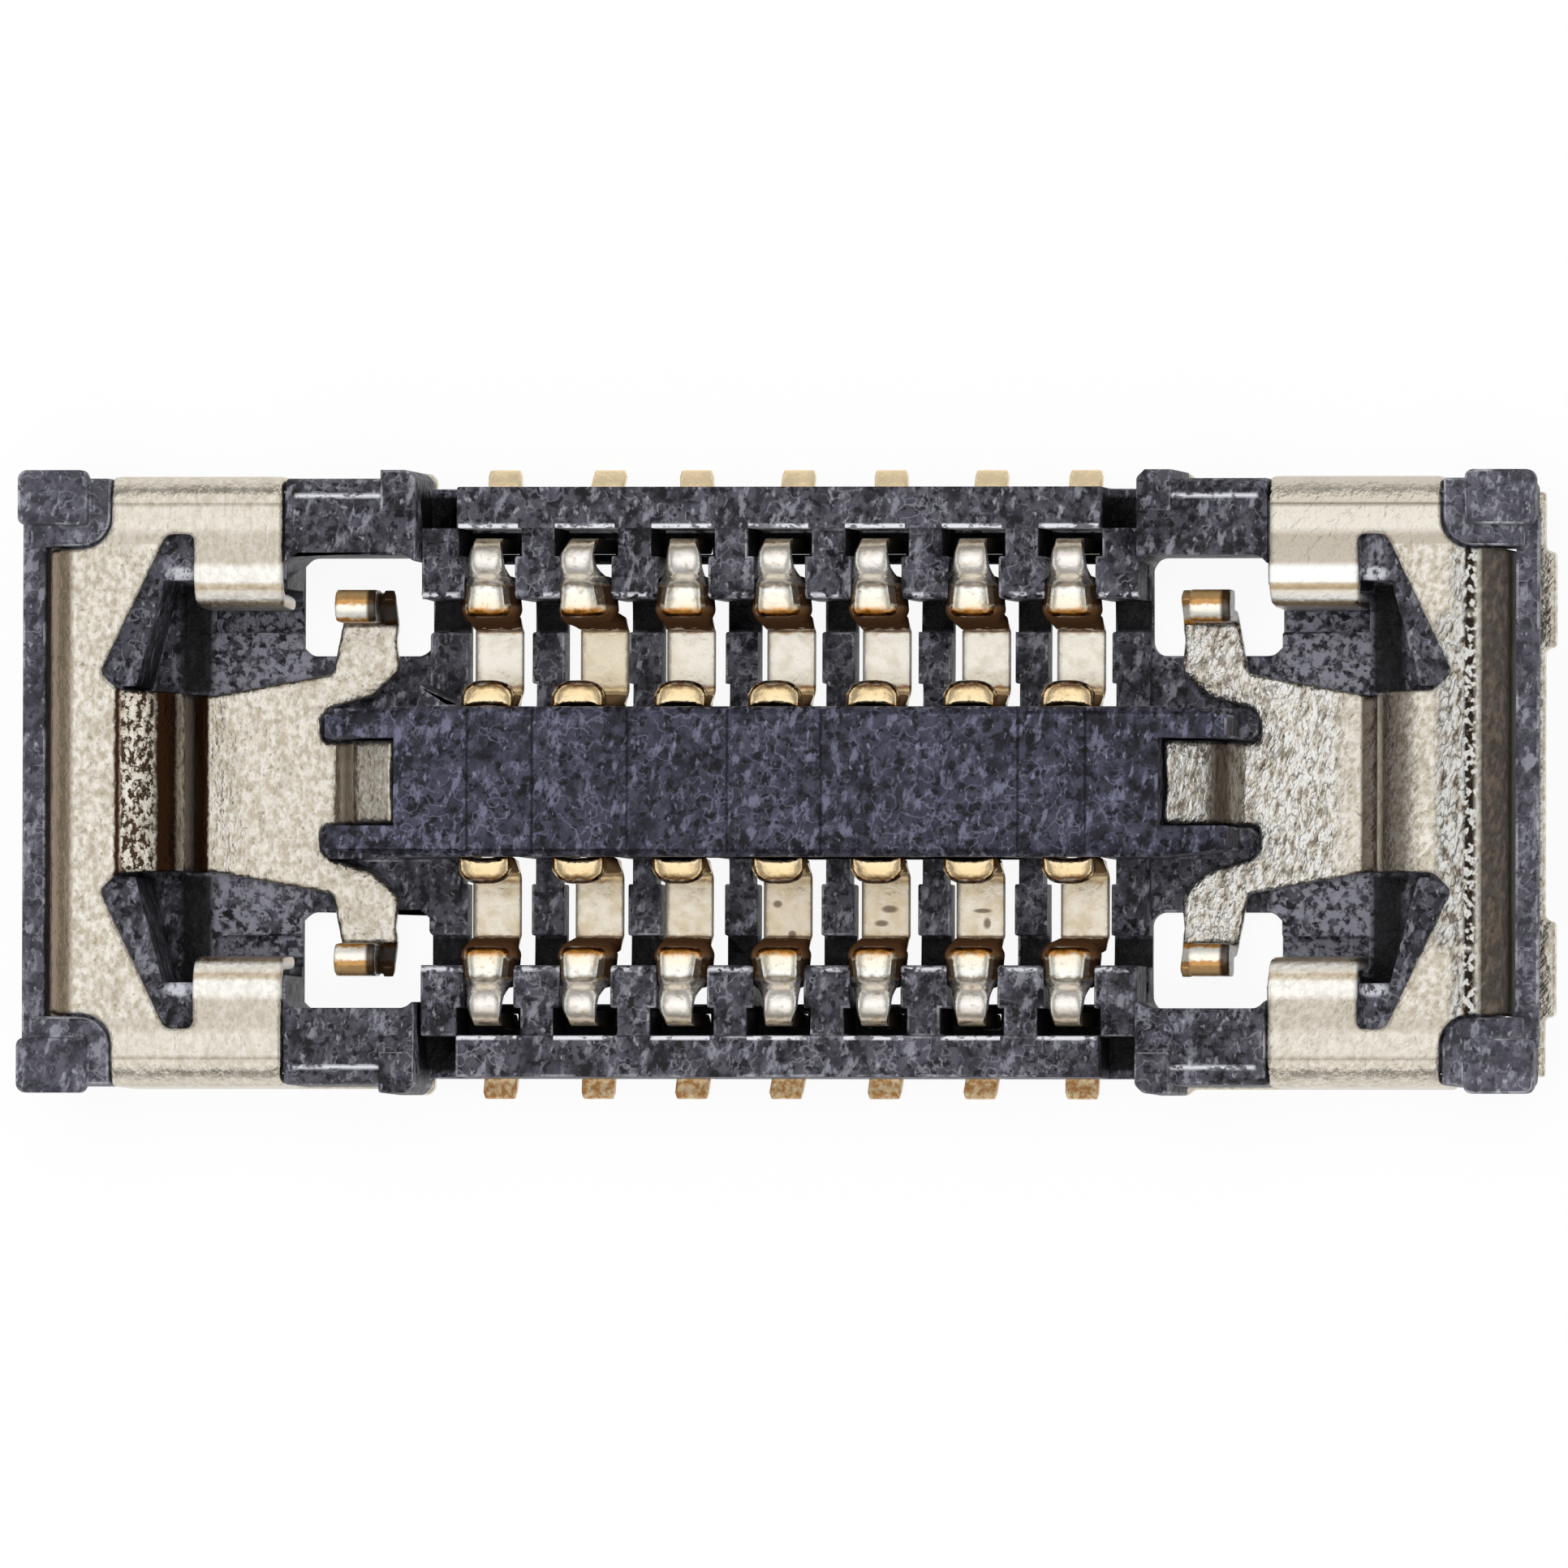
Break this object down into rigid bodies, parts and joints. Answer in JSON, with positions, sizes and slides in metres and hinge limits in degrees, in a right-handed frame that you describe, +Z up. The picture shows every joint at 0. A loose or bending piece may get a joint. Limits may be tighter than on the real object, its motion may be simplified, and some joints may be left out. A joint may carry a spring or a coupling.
{
  "type": "fpc connector",
  "caption": "Low-profile board-to-FPC receptacle: black moulded housing with a centre island, spring contacts in two rows and a stamped metal fitting at each end.",
  "frame": {"origin": "centre of the footprint, in the plane of the solder tails' undersides", "axes": "+X along the contact rows, +Y across them, +Z up out of the mating cavity"},
  "size_m": [0.0056, 0.0022, 0.0006],
  "materials": {
    "housing_plastic": "glass-filled liquid crystal polymer, as moulded",
    "fitting_metal": "stamped copper alloy sheet, nickel and thin gold plated, rolled grain",
    "contact_metal": "stamped copper alloy sheet, nickel plated with gold on the contact bumps and tails"
  },
  "bodies": {
    "root": {"housing": "housing_plastic", "end_fitting_left": "fitting_metal", "end_fitting_right": "fitting_metal", "contact_a1": "contact_metal", "contact_a2": "contact_metal", "contact_a3": "contact_metal", "contact_a4": "contact_metal", "contact_a5": "contact_metal", "contact_a6": "contact_metal", "contact_a7": "contact_metal", "contact_b1": "contact_metal", "contact_b2": "contact_metal", "contact_b3": "contact_metal", "contact_b4": "contact_metal", "contact_b5": "contact_metal", "contact_b6": "contact_metal", "contact_b7": "contact_metal"}
  },
  "joints": []
}
